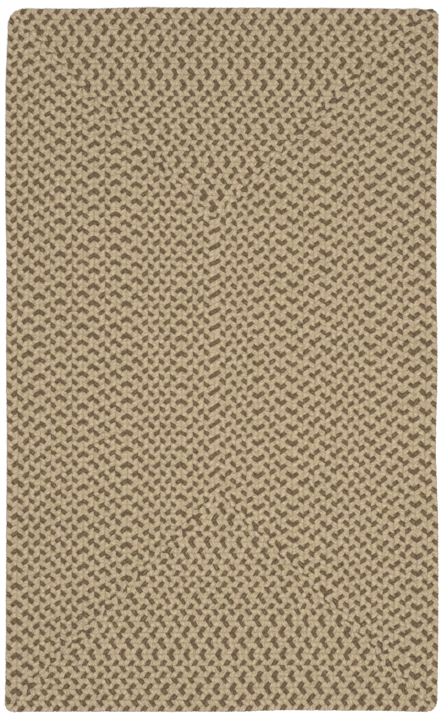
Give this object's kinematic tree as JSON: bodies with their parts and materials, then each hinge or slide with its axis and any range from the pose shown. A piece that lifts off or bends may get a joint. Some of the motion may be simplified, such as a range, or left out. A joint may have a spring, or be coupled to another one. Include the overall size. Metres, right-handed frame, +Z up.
{
  "type": "braided rug",
  "caption": "Flat rectangular floor rug made of one long plait of cloth strands, wound outwards from a middle seam and stitched edge to edge.",
  "frame": {"origin": "centre of the underside of the bounding box, on the floor the rug lies on", "axes": "+Z up from the floor, +Y along the rug's length, towards the edge that is uppermost in the picture, +X to the right"},
  "size_m": [0.9182, 1.4932, 0.01],
  "materials": {
    "beige_cloth": "matt heathered beige cloth, plaited in flat strands",
    "brown_cloth": "matt heathered brown cloth, the one dark strand of the plait",
    "stitching_thread": "matt beige stitching thread, sunk between the rounds"
  },
  "bodies": {
    "root": {"braided_rug": "beige_cloth"}
  },
  "joints": []
}
